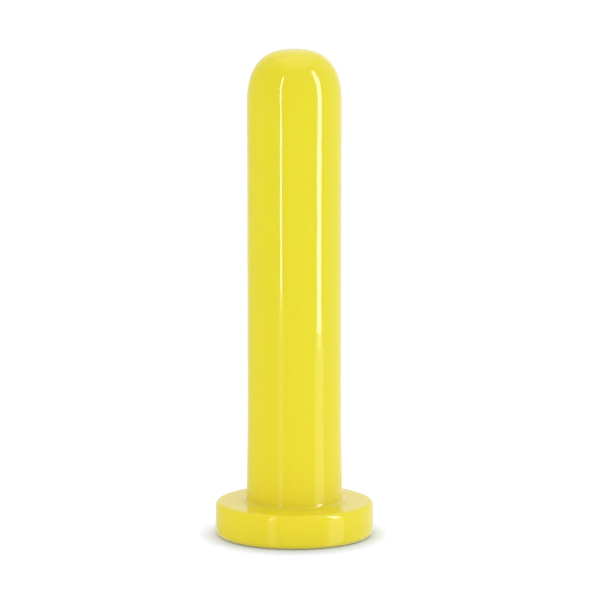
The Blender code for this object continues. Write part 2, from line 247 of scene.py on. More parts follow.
def mottled(tree, place, sizeMm, low, high, detail=2.0):
    # soft patches of about sizeMm: noise, most of which lies from 0.3 to 0.7, made to run from low to high
    noise = addNode(tree, "TexNoise", {"Scale": 1 / (sizeMm * mm), "Detail": detail},
                    {"Vector": place}).outputs["Fac"]
    span = {"From Min": 0.3, "From Max": 0.7, "To Min": low, "To Max": high}
    return addNode(tree, "MapRange", span, {"Value": noise}).outputs["Result"]


def tinted(tree, shader, amount, lowColour, highColour):
    # base colour from one to the other as amount goes from 0 to 1
    ends = {"data_type": "RGBA", 6: toLinear(lowColour), 7: toLinear(highColour)}
    mix = addNode(tree, "Mix", ends, {0: amount})
    tree.links.new(mix.outputs[2], shader.inputs["Base Color"])


def bumped(tree, shader, height, depthMm):
    bump = addNode(tree, "Bump", {"Strength": 1.0, "Distance": depthMm * mm}, {"Height": height})
    tree.links.new(bump.outputs["Normal"], shader.inputs["Normal"])


def toothed(tree, shader, place, toothMm, detail=2.0):
    # small bumps of a width and a depth
    width, depth = toothMm
    bumped(tree, shader, mottled(tree, place, width, 0.0, 1.0, detail), depth)


bareMetal = {"Metallic": 1.0}


def patchy(name, look, sockets):
    # two tones in soft patches, uneven gloss in patches a third as wide unless said, and a fine tooth
    material, tree, shader, place = newMaterial(name, sockets)
    tone = mottled(tree, place, look["patchMm"], 0.0, 1.0, look.get("detail", 2.0))
    tinted(tree, shader, tone, *look["tones"])
    gloss = mottled(tree, place, look.get("glossMm", look["patchMm"] / 3), *look["roughness"])
    tree.links.new(gloss, shader.inputs["Roughness"])
    toothed(tree, shader, place, look["toothMm"])
    return material, tree, shader, place


skin = {
    "waistRadius": 39.9 * mm,
    "footFlare": 1.15 * mm,  # extra radius at the foot, gone at flareHeight above it
    "flareHeight": 90 * mm,
    "headSwell": 0.25 * mm,  # extra radius under the dome
    "swellHeight": 78 * mm,
    "domeHeight": 48.6 * mm,
    "domePower": 2.64,
    "crownWall": 7 * mm,
    "boreRadius": 33 * mm,
    "footHeight": 29.5 * mm,
    "footTopEdge": 4 * mm,
    "footLowEdge": 5.2 * mm,
    "neckFillet": 4 * mm,
    "recessEdge": 0.5 * mm,
    "rowStep": 2.2 * mm,
    "columns": 224,
    "waveHeight": 0.03 * mm,  # the faint waviness of a cast surface
    # waves around, radians per metre of height, phase, share
    "waves": ((3, 410, 0.0, 0.45), (5, -670, 1.3, 0.3), (2, 1130, 0.4, 0.25)),
    "crownFade": 20 * mm,  # from the axis, where the waviness is at its full height
    "footFade": 12 * mm,  # and above the foot's hollow
}


def postRadius(height, domeBase):
    # waist + flare * max(0, 1 - height above the foot / flareHeight)^2
    # + swell * max(0, 1 - depth below the dome / swellHeight)^2
    low = np.maximum(0, 1 - (height - skin["footHeight"]) / skin["flareHeight"])
    high = np.maximum(0, 1 - (domeBase - height) / skin["swellHeight"])
    return skin["waistRadius"] + skin["footFlare"] * low ** 2 + skin["headSwell"] * high ** 2


def domeOutline(radius, rise, domeBase, steps):
    # superellipse quarter, pole first: (R cos^(2/p) a, base + H sin^(2/p) a), a from 90 to 0 degrees
    a = np.linspace(math.pi / 2, 0, steps + 1)
    share = 2 / skin["domePower"]
    points = np.stack((radius * np.abs(np.cos(a)) ** share, domeBase + rise * np.sin(a) ** share), axis=1)
    points[0, 0] = 0
    return points


def makeSkin():
    # outline from the crown down the outside, under the foot, and up the bore to the dome's inside, turned
    # about Z; then the pockets for the inserts are cut upwards from the recess
    footLow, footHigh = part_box("foot_skin")
    padHigh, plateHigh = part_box("ground_pad")[1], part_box("base_plate")[1]
    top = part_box("post_skin")[1].z
    domeBase = top - skin["domeHeight"]
    recessRadius = padHigh.x + gap
    recessTop = plateHigh.z + gap
    filletTop = skin["footHeight"] + skin["neckFillet"]

    outerDome = domeOutline(postRadius(domeBase, domeBase), skin["domeHeight"], domeBase, 40)
    heights = np.linspace(domeBase, filletTop, round((domeBase - filletTop) / skin["rowStep"]))[1:-1]
    side = np.stack((postRadius(heights, domeBase), heights), axis=1)
    neckRadius = float(postRadius(filletTop, domeBase))
    justShort = 0.999  # the hollow ends just below the point that it would reach
    footCorners = [
        (neckRadius, filletTop, 0),
        (neckRadius, skin["footHeight"], skin["neckFillet"] * justShort),
        (footHigh.x, skin["footHeight"], skin["footTopEdge"]),
        (footHigh.x, footLow.z, skin["footLowEdge"]),
        (recessRadius, footLow.z, skin["recessEdge"]),
        (recessRadius, recessTop, 0),
        (skin["boreRadius"], recessTop, skin["recessEdge"]),
        (skin["boreRadius"], domeBase, 0),
    ]
    foot = divided(roundedOutline(footCorners, closed=False, arcSteps=8), skin["rowStep"] * 1.6)
    innerDome = domeOutline(skin["boreRadius"], skin["domeHeight"] - skin["crownWall"], domeBase, 20)[::-1]
    outline = np.concatenate((outerDome, side, foot[:-1], innerDome))

    theta = around(skin["columns"])
    r, h = column(outline)
    isOuter = (np.arange(len(outline)) < len(outerDome) + len(side))[:, None]
    # waviness: the sum of share * sin(around t + up h + phase), faded out on the crown and at the foot
    wave = sum(share * np.sin(turns * theta + up * h + phase) for turns, up, phase, share in skin["waves"])
    offCrown = np.clip(r / skin["crownFade"], 0, 1)
    offFoot = np.clip((h - filletTop) / skin["footFade"], 0, 1)
    r = r + skin["waveHeight"] * wave * isOuter * offCrown * offFoot
    piece = turned("skin", [(r, h)], theta, closed=False)

    insertLow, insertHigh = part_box("skin_insert_1")
    pocketRadius = (insertHigh.x - insertLow.x) / 2 + gap
    pocketTop, mouth = insertHigh.z + gap, recessTop - mm
    pocket = [(0, mouth), (pocketRadius, mouth), (pocketRadius, pocketTop), (0, pocketTop)]
    cutAway(piece, pocket, around(32), spotsOf(insertNodes), sharpAngle=50)
    standIn(piece, castPolyurethane(), ["foot_skin", "neck_skin", "post_skin"])


def castPolyurethane():
    # polyurethane cast in a polished mould: even milky yellow, wet-looking gloss with faint ripples
    look = {
        "footShadeTone": "#F3E12E", "footShadeTop": 20 * mm,  # the colour near the foot, a painted lift against the shade there, and where it starts to change
        "body": "#F0E22C", "bodyLow": 200 * mm,
        "cloudMm": 60, "cloudShare": 0.1,  # the tone drifts by this share over so long a way
        "glossMm": 12, "roughness": (0.05, 0.09), "rippleMm": (3.5, 0.014),
        "shader": {"IOR": 1.4, "Subsurface Weight": 0.6, "Subsurface Radius": (1.0, 0.8, 0.25),
                   "Subsurface Scale": 0.006},
    }
    material, tree, shader, place = newMaterial("castPolyurethane", look["shader"])
    # painted light: with height the colour goes from a slightly warmer, lifted yellow at the foot to the
    # body colour, offsetting the shade near the foot
    height = addNode(tree, "SeparateXYZ", links={0: place}).outputs["Z"]
    span = {"From Min": look["footShadeTop"], "From Max": look["bodyLow"]}
    rise = addNode(tree, "MapRange", span, {"Value": height}).outputs["Result"]
    cloud = mottled(tree, place, look["cloudMm"], -look["cloudShare"], look["cloudShare"])
    both = {"operation": "ADD", "use_clamp": True}
    tone = addNode(tree, "Math", both, {0: cloud, 1: rise}).outputs[0]
    tinted(tree, shader, tone, look["footShadeTone"], look["body"])
    tree.links.new(mottled(tree, place, look["glossMm"], *look["roughness"]), shader.inputs["Roughness"])
    toothed(tree, shader, place, look["rippleMm"], detail=1.0)
    return material


spring = {
    "deadTurns": 1.25,
    "deadPitch": 6.6 * mm,
    "wireRadius": 3 * mm,
    "activePitch": 12 * mm,
    "pitchEase": 0.3,  # turns over which the pitch changes
    "tipDrop": 2.2 * mm,  # how far each tip is ground into, over groundTurns
    "groundTurns": 0.8,
    "stepsPerTurn": 72,
    "wireSides": 20,
    # chrome-silicon spring wire, coiled, shot peened and phosphated: dark grey, fine grained, hardly glossy
    "look": {"patchMm": 9, "tones": ("#2F3032", "#4A4B4E"), "roughness": (0.42, 0.58),
             "toothMm": (0.7, 0.03)},
}


def springEnds():
    # the planes that the spring bears on; the CAD wire has six sides, so its box is a little short
    low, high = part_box("return_spring")
    short = spring["wireRadius"] * (1 - math.cos(turn / 12))
    return low.z - short, high.z + short


def makeReturnSpring():
    # wire carried along a helix: centre (R cos t, R sin t, z(t)), ring N cos f + B sin f, with N outwards
    # and B square to N and the wire; both ends are ground flat, so heights are held between the seats
    low, high = springEnds()
    wire = spring["wireRadius"]
    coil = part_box("return_spring")[1].x - wire
    rise = high - low - 2 * wire
    dead = spring["deadTurns"]
    active = (rise - 2 * dead * spring["deadPitch"]) / spring["activePitch"]
    turns = active + 2 * dead
    t = np.linspace(0, turns, round(turns * spring["stepsPerTurn"]))
    ease = np.clip((np.minimum(t, turns - t) - dead) / spring["pitchEase"] + 0.5, 0, 1)
    ease = ease * ease * (3 - 2 * ease)
    pitch = spring["deadPitch"] + (spring["activePitch"] - spring["deadPitch"]) * ease
    climb = np.concatenate(([0], np.cumsum((pitch[1:] + pitch[:-1]) / 2 * np.diff(t))))
    away = spring["groundTurns"]
    ground = np.clip(1 - t / away, 0, 1) - np.clip(1 - (turns - t) / away, 0, 1)
    height = low + wire + climb * rise / climb[-1] - spring["tipDrop"] * ground
    a = t * turn
    outward = np.stack((np.cos(a), np.sin(a), 0 * a), axis=-1)
    along = np.stack((-coil * np.sin(a), coil * np.cos(a), pitch / turn), axis=-1)
    along /= np.linalg.norm(along, axis=1, keepdims=True)
    across = np.cross(along, outward)
    centre = np.stack((coil * np.cos(a), coil * np.sin(a), height), axis=-1)
    f = around(spring["wireSides"])[0]
    tube = (centre[:, None] + wire * (outward[:, None] * np.cos(f)[None, :, None]
                                      + across[:, None] * np.sin(f)[None, :, None]))
    tube[..., 2] = np.clip(tube[..., 2], low, high)
    piece = meshPiece("returnSpring", [capped(tube)], wrapRows=False)
    material = patchy("phosphatedSpringSteel", spring["look"], bareMetal)[0]
    standIn(piece, material, ["return_spring"])


rope = {
    "strands": 6,
    "lay": 34 * mm,  # one turn of a strand around the rope
    "wireLay": 13 * mm,  # one turn of the wires around their strand, the other way
    "fill": 0.985,  # a strand's share of the width it has
    "valley": 0.42,  # depth between two wires, as a share of the strand's radius
    "rowStep": 0.8 * mm,
    "columnsPerWire": 4,
}


def strandGrid(height, offset, phase, radius):
    # strand about (offset cos a, offset sin a, z), a = phase + turn z / lay; six outer wires of radius w
    # give it the outline w (2 cos d + sqrt(1 - 4 sin(d)^2)), d being the angle from the nearest wire
    steps = rope["columnsPerWire"]
    f = around(6 * steps)
    d = ((np.arange(6 * steps) % steps) / steps - 0.5)[None, :] * turn / 6
    outline = radius / 3 * (2 * np.cos(d) + np.sqrt(np.maximum(0, 1 - 4 * np.sin(d) ** 2)))
    a = phase + turn * height / rope["lay"]
    spin = f - turn * height / rope["wireLay"]
    x = offset * np.cos(a) + outline * np.cos(spin)
    y = offset * np.sin(a) + outline * np.sin(spin)
    grid = np.stack((x, y, height + 0 * x), axis=-1)
    valley = (radius - outline) / radius / rope["valley"] + 0 * height
    marks = np.concatenate((valley[:1] * 0, valley, valley[:1] * 0))
    return capped(grid), marks


def makeTieRope():
    low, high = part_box("tie_rope")
    radius = high.x / 3 * rope["fill"]
    height = np.linspace(low.z, high.z, round((high.z - low.z) / rope["rowStep"]))[:, None]
    count = rope["strands"]
    strands = [strandGrid(height, 2 * radius, number * turn / count, radius) for number in range(count)]
    strands.append(strandGrid(height, 0.0, 0.3, radius))
    piece = meshPiece("tieRope", [grid for grid, marks in strands], wrapRows=False, sharpAngle=80,
                      marks=np.concatenate([marks.ravel() for grid, marks in strands]))
    standIn(piece, galvanisedWireRope(), ["tie_rope"])


def galvanisedWireRope():
    # hot-dip galvanised wires laid up with grease: pale dull crests, dark wet grooves between the wires
    look = {"patchMm": 4, "tones": ("#9FA3A5", "#C3C6C7"), "roughness": (0.3, 0.45),
            "toothMm": (0.6, 0.015)}
    grease = {"data_type": "RGBA", 7: toLinear("#35322C")}
    material, tree, shader = patchy("galvanisedWireRope", look, bareMetal)[:3]
    valley = addNode(tree, "Attribute", {"attribute_name": "mark"}).outputs["Fac"]
    clean = shader.inputs["Base Color"].links[0].from_socket
    greased = addNode(tree, "Mix", grease, {0: valley, 6: clean})
    tree.links.new(greased.outputs[2], shader.inputs["Base Color"])
    return material


pad = {
    "holeRadius": 15 * mm,
    "rings": 5,  # round grooves in the tread
    "spokes": 20,  # grooves across them, which let water out
    "grooveWidth": 2.2 * mm,
    "grooveDepth": 0.9 * mm,
    "land": (0.16, 0.84),  # its extra lines, as shares of the way to the next spoke
    "draft": 0.3 * mm,
    "edge": 0.5 * mm,
    # compression-moulded EPDM with carbon black: matt charcoal, dusty patches, a fine pebbled skin
    "look": {"patchMm": 18, "detail": 5.0, "tones": ("#1B1B1C", "#323130"), "glossMm": 8,
             "roughness": (0.62, 0.82), "toothMm": (0.9, 0.05)},
}


def makeGroundPad():
    # tread: z = grooveDepth * max(ring(r), spoke(t)), each 1 inside a groove and 0 on the lands; the grid
    # has a line at each side of each groove wall
    low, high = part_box("ground_pad")
    inner, outer, edge = pad["holeRadius"], high.x, pad["edge"]
    half, draft = pad["grooveWidth"] / 2, pad["draft"]
    wall = np.array((-half - draft, -half, half, half + draft))
    depth = np.array((0.0, 1.0, 1.0, 0.0))
    centres = inner + (outer - inner) * (np.arange(pad["rings"]) + 0.5) / pad["rings"]
    radii = np.concatenate(([inner + edge], (centres[:, None] + wall).ravel(), [outer - edge]))[:, None]
    ringDepth = np.concatenate(([0.0], np.tile(depth, pad["rings"]), [0.0]))[:, None]
    share = turn / pad["spokes"]
    land = np.linspace(*pad["land"], 7) * share
    offsets = np.concatenate((wall / ((inner + outer) / 2), land))
    theta = (np.arange(pad["spokes"])[:, None] * share + offsets).reshape(1, -1)
    spokeDepth = np.tile(np.concatenate((depth, 0 * land)), pad["spokes"])[None, :]
    tread = low.z + pad["grooveDepth"] * np.maximum(ringDepth, spokeDepth)
    lowEdge = np.maximum(low.z + edge, low.z + pad["grooveDepth"] * spokeDepth + draft)
    rows = [(radii, tread), (outer, lowEdge), (outer, high.z - draft), (outer - draft, high.z),
            (inner + draft, high.z), (inner, high.z - draft), (inner, lowEdge)]
    piece = turned("groundPad", rows, theta, sharpAngle=25)
    standIn(piece, patchy("mouldedRubber", pad["look"], {})[0], ["ground_pad"], "base")


metricSix = {"pitch": 1 * mm, "major": 3 * mm, "depth": 0.61 * mm}
metricEight = {"pitch": 1.25 * mm, "major": 4 * mm, "depth": 0.77 * mm}
metricSixteen = {"pitch": 2 * mm, "major": 8 * mm, "depth": 1.2 * mm}
threadPlay = 0.06 * mm  # between a thread's surface and its exact form

screw = {
    "headRadius": 6 * mm,
    "headHeight": 3.3 * mm,
    "rim": 0.3 * mm,
    "plainLength": 1.6 * mm,
    "socketHalf": 2 * mm,
    "socketDepth": 2 * mm,
    "socketChamfer": 0.2 * mm,
    "drillPoint": 0.4 * mm,  # cone below the socket
    "tipChamfer": 0.7 * mm,
    # steel hardware, zinc plated and clear passivated: bright, slightly blue, with soft cloudy patches
    "look": {"patchMm": 6, "tones": ("#B9C0C8", "#D3D6D8"), "roughness": (0.2, 0.32),
             "toothMm": (0.8, 0.01)},
}


def makeScrew(node, material):
    # countersunk screw on its head: tip, thread, plain neck, cone, rim, face, hexagon socket
    low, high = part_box(node)
    face, top = low.z, high.z
    major = metricSix["major"] - threadPlay
    theta = around(36)
    plain = face + screw["headHeight"] + screw["plainLength"]
    h = threadRows(plain, top, metricSix)[::-1]
    runOut = np.clip((h - plain) / metricSix["pitch"], 0, 1)
    threaded = major - groove(theta, h, metricSix) * runOut
    tip = major - screw["tipChamfer"] + (top - h)
    rim, head, chamfer = screw["rim"], screw["headRadius"], screw["socketChamfer"]
    coneTop, socketEnd = face + screw["headHeight"], face + screw["socketDepth"]
    socket, mouth = [hexagon(screw["socketHalf"] + wider, theta) for wider in (0, chamfer)]
    rows = [(0, top), (np.minimum(threaded, tip), h), (major, plain - 0.1 * mm), (major, coneTop),
            (head, face + rim), (head, face + rim / 3), (head - rim / 2, face), (mouth, face),
            (socket, face + chamfer), (socket, socketEnd), (0, socketEnd + screw["drillPoint"])]
    piece = turned("visual_" + node, rows, theta, closed=False, spots=spotsOf([node]))
    standIn(piece, material, [node], "base")


insert = {
    "teeth": 20,  # diamonds around the knurl
    "knurlDepth": 0.3 * mm,
    "chamfer": 0.4 * mm,
    "waist": 0.9 * mm,  # deep, between the two knurled bands
    "waistHalf": 0.1,  # and so much of the length to each side of the middle
    "pilotStep": 0.5 * mm,  # deep, above pilotStart of the length
    "pilotStart": 0.86,
    # free-machining brass, turned and knurled: warm yellow, bright crests, a little tarnish
    "look": {"patchMm": 5, "tones": ("#A9853A", "#CDA854"), "roughness": (0.24, 0.4),
             "toothMm": (0.5, 0.012)},
}


def makeInsert(node, material):
    # knurl: r = R - depth * (1 - 1.5 min(g1, g2)), g = |2 frac(n t / turn +- h / width) - 1| for the two
    # hands; two knurled bands with a waist between them, and an M6 thread in the bore
    low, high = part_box(node)
    radius = (high.x - low.x) / 2
    theta = around(6 * insert["teeth"])
    chamfer = insert["chamfer"]
    h = np.linspace(low.z + chamfer, high.z - chamfer, 40)[:, None]
    width = turn * radius / insert["teeth"]
    hands = [np.abs(2 * ((insert["teeth"] * theta / turn + side * h / width) % 1) - 1) for side in (1, -1)]
    knurl = insert["knurlDepth"] * (1 - np.clip(1.5 * np.minimum(*hands), 0, 1))
    share = (h - low.z) / (high.z - low.z)
    waist = insert["waist"] * np.clip((insert["waistHalf"] - np.abs(share - 0.5)) * 60, 0, 1)
    pilot = insert["pilotStep"] * np.clip((share - insert["pilotStart"]) * 40, 0, 1)
    outer = np.minimum(radius - knurl, radius - np.maximum(waist, pilot))
    bore = metricSix["major"] + threadPlay
    thread = threadRows(low.z + chamfer, high.z - chamfer, metricSix)[::-1]
    mouth = bore + chamfer / 2
    rows = [(mouth, low.z), (radius - chamfer, low.z), (outer, h), (radius - 2 * chamfer, high.z),
            (mouth, high.z), (bore - groove(theta, thread, metricSix), thread)]
    piece = turned("visual_" + node, rows, theta, spots=spotsOf([node]))
    standIn(piece, material, [node], "base")


plate = {
    "boreRadius": 13.3 * mm,
    "edge": 0.6 * mm,
    "outerChamfer": 1 * mm,
    "sinkPlay": 0.35 * mm,  # the countersink is this much wider than the screw's head
    "holeRadius": 3.3 * mm,
    # hot-rolled plate, laser cut and zinc plated: greyer than the screws, the rolled skin showing through
    "look": {"patchMm": 22, "tones": ("#9CA1A6", "#BCC0C2"), "roughness": (0.32, 0.48),
             "toothMm": (1.6, 0.04)},
}


def makeBasePlate():
    # ring of round-edged rectangular section turned about Z, with a countersunk hole for each screw
    low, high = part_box("base_plate")
    edge, bore = plate["edge"], plate["boreRadius"]
    corners = [(bore, low.z, edge), (high.x, low.z, plate["outerChamfer"]), (high.x, high.z, edge),
               (bore, high.z, edge)]
    outline = roundedOutline(corners, arcSteps=3)
    piece = turned("basePlate", [column(outline)], around(144))
    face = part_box("plate_screw_1")[0].z
    wide = screw["headRadius"] + plate["sinkPlay"]
    slope = (wide - plate["holeRadius"]) / screw["headHeight"]
    below, above, narrow = low.z - mm, high.z + mm, plate["holeRadius"]
    hole = [(0, below), (wide + (face - below) * slope, below), (narrow, face + screw["headHeight"]),
            (narrow, above), (0, above)]
    cutAway(piece, hole, around(48), spotsOf(screwNodes))
    material = patchy("zincPlatedPlate", plate["look"], bareMetal)[0]
    standIn(piece, material, ["base_plate"], "base")


bush = {
    "shankRadius": 13 * mm,
    "flangeHalf": 15 * mm,
    "flangeHeight": 4 * mm,
    "neckRadius": 12 * mm,
    "flangeChamfer": 1.4 * mm,
    "threadTop": 25 * mm,
    "edge": 0.7 * mm,
}


def hexagonBlock(half, low, top, theta, chamfer):
    # hexagon with its corners turned down: the smaller of the hexagon and a 30 degree cone at each face,
    # where the cone leaves a round face just narrower than the flats
    faceShare = 0.985
    rise = np.linspace(0, chamfer, 6)
    h = np.concatenate((low + rise, top - rise[::-1]))[:, None]
    cone = half * faceShare + np.minimum(h - low, top - h) * math.tan(math.radians(60))
    return np.minimum(hexagon(half, theta), cone), h


def makeAnchorBush(material):
    # blind M16 bush: round shank below, hexagonal flange that the hub traps, round neck above
    low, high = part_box("anchor_bush")
    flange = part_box("lower_spring_seat")[0].z
    edge, shank, collar = bush["edge"], bush["shankRadius"], bush["neckRadius"]
    theta = around(72)
    flangeTop = flange + bush["flangeHeight"]
    bore = metricSixteen["major"] + threadPlay
    h = threadRows(low.z + edge, bush["threadTop"], metricSixteen)
    r, flangeRows = hexagonBlock(bush["flangeHalf"], flange, flangeTop, theta, bush["flangeChamfer"])
    rows = [(0, high.z), (collar - edge, high.z), (collar, high.z - edge), (collar, flangeTop),
            (r[::-1], flangeRows[::-1]), (shank, flange), (shank, low.z + edge), (shank - edge, low.z),
            (bore + edge, low.z), (bore - groove(theta, h, metricSixteen), h), (0, bush["threadTop"] + mm)]
    piece = turned("anchorBush", rows, theta, closed=False)
    standIn(piece, material, ["anchor_bush"], "base")


seats = {
    "ferruleBore": 12.3 * mm,
    "ropeHole": 3.1 * mm,
    "hubCeiling": 34 * mm,
    "spigot": 18.2 * mm,
    "nose": 16 * mm,
    "noseLength": 8 * mm,
    "tappedTop": 20.3 * mm,
    "swageBore": 5.3 * mm,
}


def makeLowerSeat(material):
    # hub: flange and spigot for the spring outside; ferrule bore and hexagonal recess for the bush inside
    low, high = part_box("lower_spring_seat")
    shoulder = springEnds()[0] - gap
    recess, recessTop = bush["flangeHalf"] + gap, low.z + bush["flangeHeight"] + gap
    noseLow = high.z - seats["noseLength"]
    theta = around(96)
    ceiling, spigot = seats["hubCeiling"], seats["spigot"]
    hole, bore = seats["ropeHole"], seats["ferruleBore"]
    corners = [
        (recess + 2 * mm, low.z, 0), (high.x, low.z, 0.6 * mm), (high.x, shoulder, 0.8 * mm),
        (spigot, shoulder, 0.6 * mm), (spigot, noseLow, 1.5 * mm), (seats["nose"], high.z, 1.2 * mm),
        (hole, high.z, 0.8 * mm), (hole, ceiling, 0.4 * mm), (bore, ceiling, 1 * mm),
        (bore, recessTop, 0.3 * mm), (recess - 2 * mm, recessTop, 0),
    ]
    rows = [column(roundedOutline(corners, closed=False)[1:-1]), (hexagon(recess, theta), recessTop),
            (hexagon(recess, theta), low.z + 0.4 * mm), (hexagon(recess + 0.4 * mm, theta), low.z)]
    piece = turned("lowerSpringSeat", rows, theta)
    major, below = metricSix["major"] + threadPlay, low.z - 1.5 * mm
    holeTheta = around(36)
    h = threadRows(below, seats["tappedTop"], metricSix)
    tapped = [(0, below), (major - groove(holeTheta, h, metricSix), h), (0, seats["tappedTop"] + 0.8 * mm)]
    cutAway(piece, tapped, holeTheta, spotsOf(seatScrews))
    standIn(piece, material, ["lower_spring_seat"], "base")


def turnedSteel():
    # mild steel, turned and oiled black: dark grey with fine rings left by the tool
    look = {"patchMm": 14, "tones": ("#55575A", "#727477"), "roughness": (0.3, 0.42),
            "toothMm": (0.9, 0.01)}
    feedMm = 0.7  # a real feed is 0.2 mm, too fine to show
    ringDepthMm = 0.008
    material, tree, shader, place = patchy("turnedSteel", look, bareMetal)
    level = {"operation": "MULTIPLY", 1: (1, 1, 0)}
    flat = addNode(tree, "VectorMath", level, {0: place}).outputs[0]
    reach = addNode(tree, "VectorMath", {"operation": "LENGTH"}, {0: flat}).outputs["Value"]
    height = addNode(tree, "SeparateXYZ", links={0: place}).outputs["Z"]
    path = addNode(tree, "Math", {"operation": "ADD"}, {0: reach, 1: height}).outputs[0]
    phase = {"operation": "MULTIPLY", 1: turn / (feedMm * mm)}
    angle = addNode(tree, "Math", phase, {0: path}).outputs[0]
    rings = addNode(tree, "Math", {"operation": "SINE"}, {0: angle}).outputs[0]
    bumped(tree, shader, rings, ringDepthMm)
    return material


def makeUpperSeat(material):
    # ring turned about Z: nose and spigot in the spring, shoulder on it, and rivet holes in the outside
    low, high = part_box("upper_spring_seat")
    shoulder = springEnds()[1] + gap
    bore, nose, spigot = seats["swageBore"], seats["nose"], seats["spigot"]
    corners = [
        (bore, low.z, 0.5 * mm), (nose, low.z, 1.2 * mm), (spigot, low.z + seats["noseLength"], 1.5 * mm),
        (spigot, shoulder, 0.6 * mm), (high.x, shoulder, 0.8 * mm), (high.x, high.z, 0.8 * mm),
        (bore, high.z, 0.5 * mm),
    ]
    outline = roundedOutline(corners)
    piece = turned("upperSpringSeat", [column(outline)], around(96))
    cutRivetHoles(piece)
    standIn(piece, material, ["upper_spring_seat"], "post")


tube = {
    "wall": 3 * mm,
    "edge": 0.5 * mm,
    "weldHeight": 0.2 * mm,  # seam of the welded tube, left standing inside
    "weldWidth": 2.4 * mm,
}

rivet = {
    "headRadius": 4.2 * mm,
    "headHeight": 1.6 * mm,
    "shankRadius": 2.5 * mm,
    "length": tubeHigh.x - 22 * mm,  # the inner end is 22 mm from the post's axis
    "sink": 0.3 * mm,  # how far the head lies below the tube's outside
    "play": 0.12 * mm,
}


def rivetSpots():
    # each rivet's place on the tube's outside, with its Z pointing to the tube's axis and its X up
    up = Vector((0, 0, 1))
    spots = []
    for node in rivetNodes:
        low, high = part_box(node)
        middle = (low + high) / 2
        inward = -Vector((middle.x, middle.y, 0)).normalized()
        axes = Matrix((up, inward.cross(up), inward)).transposed()
        spots.append(Matrix.Translation(up * middle.z - inward * tubeHigh.x) @ axes.to_4x4())
    return spots


def cutRivetHoles(piece):
    # each hole has its rivet's own outline, wider all round by the play
    play, length = rivet["play"], rivet["length"]
    head, shank = rivet["headRadius"] + play, rivet["shankRadius"] + play
    slope = (head - shank) / rivet["headHeight"]
    hole = [(0, -mm), (head + slope * 1.3 * mm, -mm), (shank, rivet["headHeight"] + 0.3 * mm),
            (shank, length + 0.3 * mm), (0, length + 0.3 * mm)]
    cutAway(piece, hole, around(32), rivetSpots())


def makeRivets(material):
    # countersunk head just under the tube's outside, shank, and an end upset into a low bulge
    length, sink = rivet["length"], rivet["sink"]
    head, shank, height = rivet["headRadius"], rivet["shankRadius"], rivet["headHeight"]
    rows = [(0, sink), (head * 0.3, sink), (head * 0.36, sink + 0.15 * mm),
            (head - 0.3 * mm, sink + 0.05 * mm), (head, sink + 0.2 * mm), (shank + 0.1 * mm, height),
            (shank, height + 0.2 * mm), (shank, length - 0.5 * mm), (shank - 0.5 * mm, length), (0, length)]
    for node, spot in zip(rivetNodes, rivetSpots()):
        piece = turned("visual_" + node, rows, around(32), closed=False, spots=[spot])
        standIn(piece, material, [node], "post")


def makeCoreTube():
    # inside radius less a weld ridge: height * exp(-(arc from the seam / half width)^2)
    low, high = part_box("core_tube")
    theta = around(192)
    inner, edge = high.x - tube["wall"], tube["edge"]
    arc = ((theta + turn / 2) % turn - turn / 2) * inner
    ridge = tube["weldHeight"] * np.exp(-(arc / (tube["weldWidth"] / 2)) ** 2)
    heights = np.linspace(high.z - edge, low.z + edge, 40)[:, None]
    rows = [(inner + edge, low.z), (high.x - edge, low.z), (high.x, low.z + edge), (high.x, heights[::-1]),
            (high.x - edge, high.z), (inner + edge, high.z), (inner - ridge, heights)]
    piece = turned("coreTube", rows, theta, sharpAngle=30)
    cutRivetHoles(piece)
    standIn(piece, galvanisedTube(), ["core_tube"], "post")


def galvanisedTube():
    # hot-dip galvanised steel tube: crystal spangles that catch the light differently
    look = {"spangleMm": 10, "tones": ("#9DA2A6", "#C6C9CB"), "toothMm": (3, 0.03)}
    dullness = {"To Min": 0.28, "To Max": 0.5}
    material, tree, shader, place = newMaterial("galvanisedTube", bareMetal)
    scale = {"Scale": 1 / (look["spangleMm"] * mm)}
    spangle = addNode(tree, "TexVoronoi", scale, {"Vector": place}).outputs["Color"]
    shares = addNode(tree, "SeparateXYZ", links={0: spangle}).outputs
    tinted(tree, shader, shares["X"], *look["tones"])
    gloss = addNode(tree, "MapRange", dullness, {"Value": shares["Y"]}).outputs["Result"]
    tree.links.new(gloss, shader.inputs["Roughness"])
    toothed(tree, shader, place, look["toothMm"])
    return material


fittings = {
    "swageRadius": 5 * mm,
    "swageTop": 175 * mm,
    "crimpHalf": 4.55 * mm,  # half of the width across a crimp's flats
    "crimps": 3,
    "crimpStart": 3 * mm,
    "crimpPitch": 7.5 * mm,
    "crimpWidth": 5 * mm,
    "crimpSteep": 12,  # how sharply a crimp begins and ends
    "tipChamfer": 0.9 * mm,
    "ferruleFlats": 0.9,  # distance to its flats, as a share of its radius
    "nutChamfer": 1 * mm,
}


